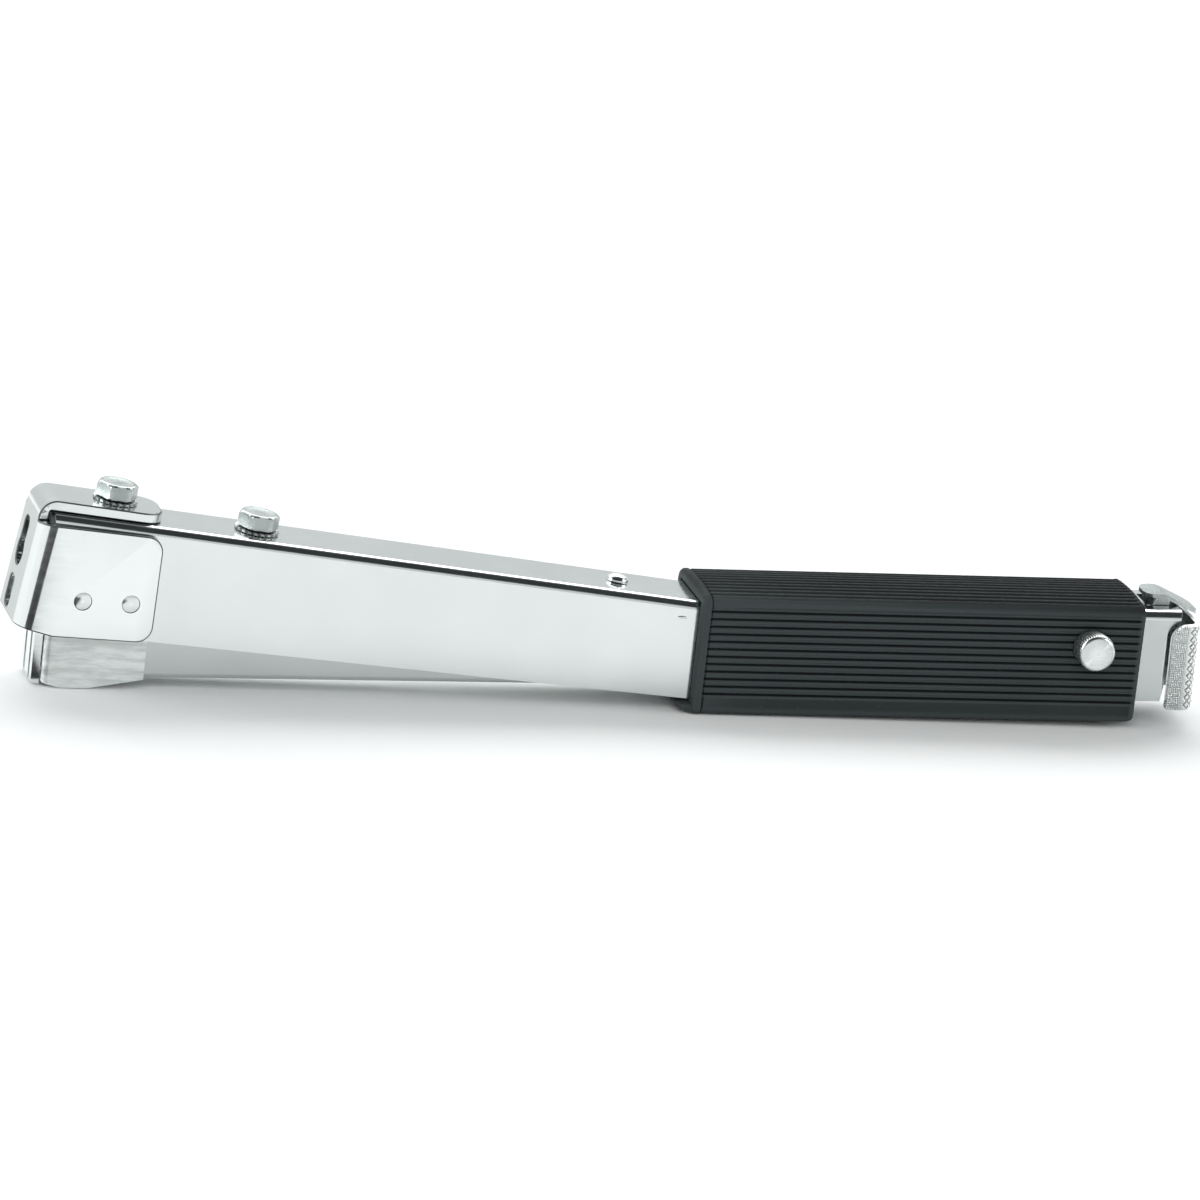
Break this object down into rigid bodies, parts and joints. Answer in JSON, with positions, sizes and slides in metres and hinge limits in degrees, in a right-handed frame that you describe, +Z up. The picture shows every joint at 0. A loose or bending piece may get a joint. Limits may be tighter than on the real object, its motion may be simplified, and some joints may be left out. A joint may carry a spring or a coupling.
{
  "type": "staple gun",
  "caption": "Striking hammer tacker: folded steel body, head cap, swinging magazine with cast nose, ribbed grip, pull-out staple core and rear latch.",
  "frame": {"origin": "middle of the flat strike face under the nose, on the tool's plane of symmetry", "axes": "+X along the tool from the nose to the rear of the handle, +Y across the tool, away from the pivot pin's knurled head, +Z up, out of the top of the head"},
  "size_m": [0.3362, 0.0373, 0.0564],
  "materials": {
    "chrome_plate": "bright plated sheet steel, faint scratches",
    "bright_steel": "turned and knurled bright steel",
    "plain_steel": "satin steel",
    "dark_washer": "dark serrated spring steel",
    "cast_nose": "rough plated casting",
    "spring_steel": "oil-tempered wire",
    "black_grip": "semi-matt ribbed black sleeve"
  },
  "bodies": {
    "frame": {"frame_channel": "chrome_plate", "head_cap": "chrome_plate", "cap_rivet_front_near": "bright_steel", "cap_rivet_front_far": "bright_steel", "cap_rivet_rear_near": "bright_steel", "cap_rivet_rear_far": "bright_steel", "front_bolt": "chrome_plate", "rear_bolt": "chrome_plate", "front_lock_washer": "dark_washer", "rear_lock_washer": "dark_washer", "driver_blade": "plain_steel", "driver_clamp": "plain_steel", "spring_rivet": "chrome_plate", "return_spring": "spring_steel", "grip_sleeve": "black_grip", "latch_spring": "spring_steel"},
    "pivot_pin": {"pivot_pin": "bright_steel"},
    "magazine": {"magazine_channel": "plain_steel", "magazine_cover": "plain_steel", "hinge_bracket": "plain_steel", "bracket_rivet_front_near": "plain_steel", "bracket_rivet_front_far": "plain_steel", "bracket_rivet_rear_near": "plain_steel", "bracket_rivet_rear_far": "plain_steel", "nose_block": "cast_nose", "nose_plate": "chrome_plate", "nose_screw_near": "plain_steel", "nose_screw_far": "plain_steel"},
    "core": {"core_rail": "plain_steel", "core_end_block": "plain_steel", "thumb_pad": "chrome_plate", "pad_rivet_lower": "plain_steel", "pad_rivet_upper": "plain_steel", "pusher_rod": "plain_steel", "spring_stop": "plain_steel", "pusher_spring": "spring_steel"},
    "pusher": {"pusher_shoe": "plain_steel"},
    "latch": {"latch_lever": "chrome_plate", "latch_pin": "plain_steel"}
  },
  "joints": [
    {"name": "magazine_swing", "type": "hinge", "parent": "frame", "child": "magazine", "pos_m": [0.2839, 0, 0.0237], "axis": [0, 1, 0], "range_deg": [0, 2.35], "stiffness_Nm_per_rad": 30, "springref_deg": -5.73, "deforming": ["return_spring"]},
    {"name": "core_slide", "type": "slide", "parent": "magazine", "child": "core", "axis": [0.9998, 0, 0.0197], "range_m": [0, 0.25]},
    {"name": "pusher_slide", "type": "slide", "parent": "core", "child": "pusher", "axis": [0.9998, 0, 0.0197], "range_m": [0, 0.15], "stiffness_N_per_m": 40, "springref_m": -0.12, "deforming": ["pusher_spring"]},
    {"name": "latch_tip", "type": "hinge", "parent": "frame", "child": "latch", "pos_m": [0.3052, 0, 0.0296], "axis": [0, -1, 0], "range_deg": [0, 12], "stiffness_Nm_per_rad": 0.5, "springref_deg": -11.46},
    {"name": "pin_draw", "type": "slide", "parent": "frame", "child": "pivot_pin", "axis": [0, -1, 0], "range_m": [0, 0.034]}
  ]
}
